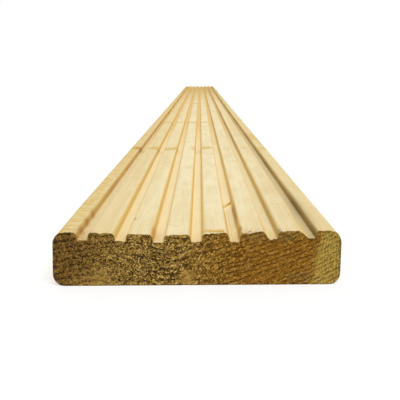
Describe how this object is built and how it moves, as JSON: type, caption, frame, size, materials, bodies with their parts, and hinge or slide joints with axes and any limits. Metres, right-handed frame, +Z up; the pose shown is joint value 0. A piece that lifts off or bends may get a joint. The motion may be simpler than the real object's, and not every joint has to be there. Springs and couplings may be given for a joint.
{
  "type": "decking board",
  "caption": "Long straight softwood decking board with rounded long edges, lengthwise grip grooves on its upper face and a plain flat underside, sawn square at both ends.",
  "frame": {"origin": "centre of the flat underside, midway along the board", "axes": "+X across the width, +Y along the length towards the far sawn end, +Z up through the grooved face"},
  "size_m": [0.145, 3, 0.028],
  "materials": {
    "treated_softwood": "matte"
  },
  "bodies": {
    "root": {"decking_board": "treated_softwood"}
  },
  "joints": []
}
